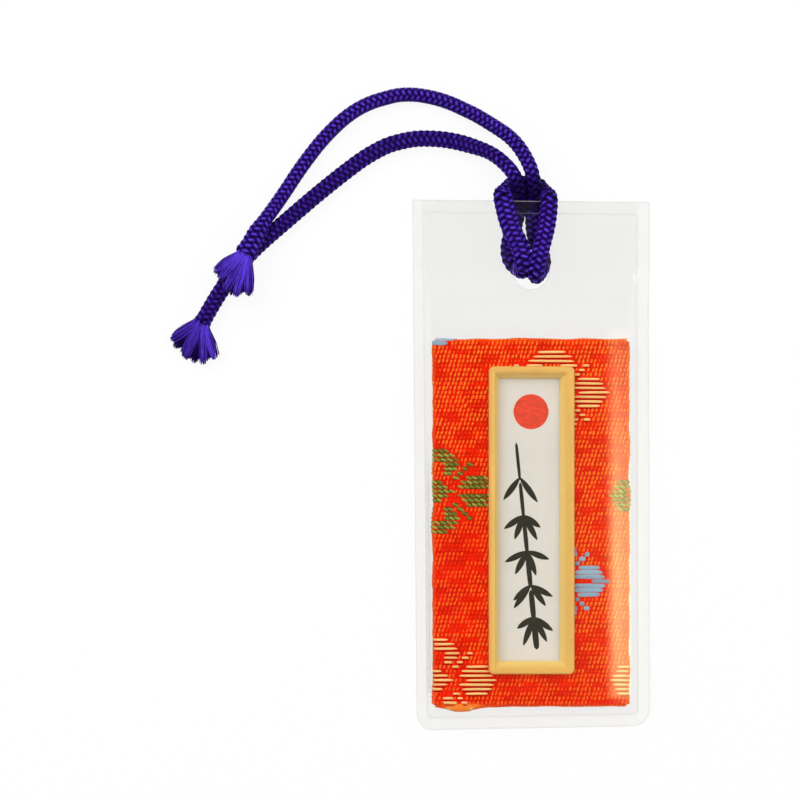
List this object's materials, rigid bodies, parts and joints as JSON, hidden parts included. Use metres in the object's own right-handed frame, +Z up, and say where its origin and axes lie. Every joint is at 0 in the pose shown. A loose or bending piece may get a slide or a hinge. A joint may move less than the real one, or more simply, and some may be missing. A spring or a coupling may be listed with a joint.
{
  "type": "omamori charm",
  "caption": "Flat amulet: a brocade-covered card with a moulded window, sealed in a clear vinyl sleeve that hangs from a braided cord hitched through a punched hole, with frayed ends.",
  "frame": {"origin": "centre of the sleeve in plan, on the table under its back", "axes": "+Z up out of the charm's front, +Y along the sleeve towards its hole, +X to the right"},
  "size_m": [0.0743, 0.0988, 0.0056],
  "materials": {
    "clear_vinyl": "clear soft film",
    "lining_paper": "matte",
    "brocade": "woven silk and rayon",
    "slip_paper": "matte",
    "board": "raw",
    "title_paper": "matte",
    "frame_plastic": "satin",
    "cord_yarn": "braided rayon yarn"
  },
  "bodies": {
    "sleeve": {"sleeve_back_sheet": "clear_vinyl", "sleeve_front_sheet": "clear_vinyl", "cord_hitch": "cord_yarn"},
    "charm": {"back_lining": "lining_paper", "brocade_cover": "brocade", "inner_slip": "slip_paper", "core_board": "board", "title_card": "title_paper", "window_frame": "frame_plastic"},
    "cord_tails": {"cord_tail_lower": "cord_yarn", "cord_tail_upper": "cord_yarn", "frayed_end_lower": "cord_yarn", "frayed_end_upper": "cord_yarn"}
  },
  "joints": [
    {"name": "charm_slide", "type": "slide", "parent": "sleeve", "child": "charm", "axis": [0, 1, 0], "range_m": [0, 0.0055]},
    {"name": "cord_swing", "type": "hinge", "parent": "sleeve", "child": "cord_tails", "pos_m": [-0.00177, 0.0454, 0], "axis": [0, 0, 1], "range_deg": [-70, 20]}
  ]
}
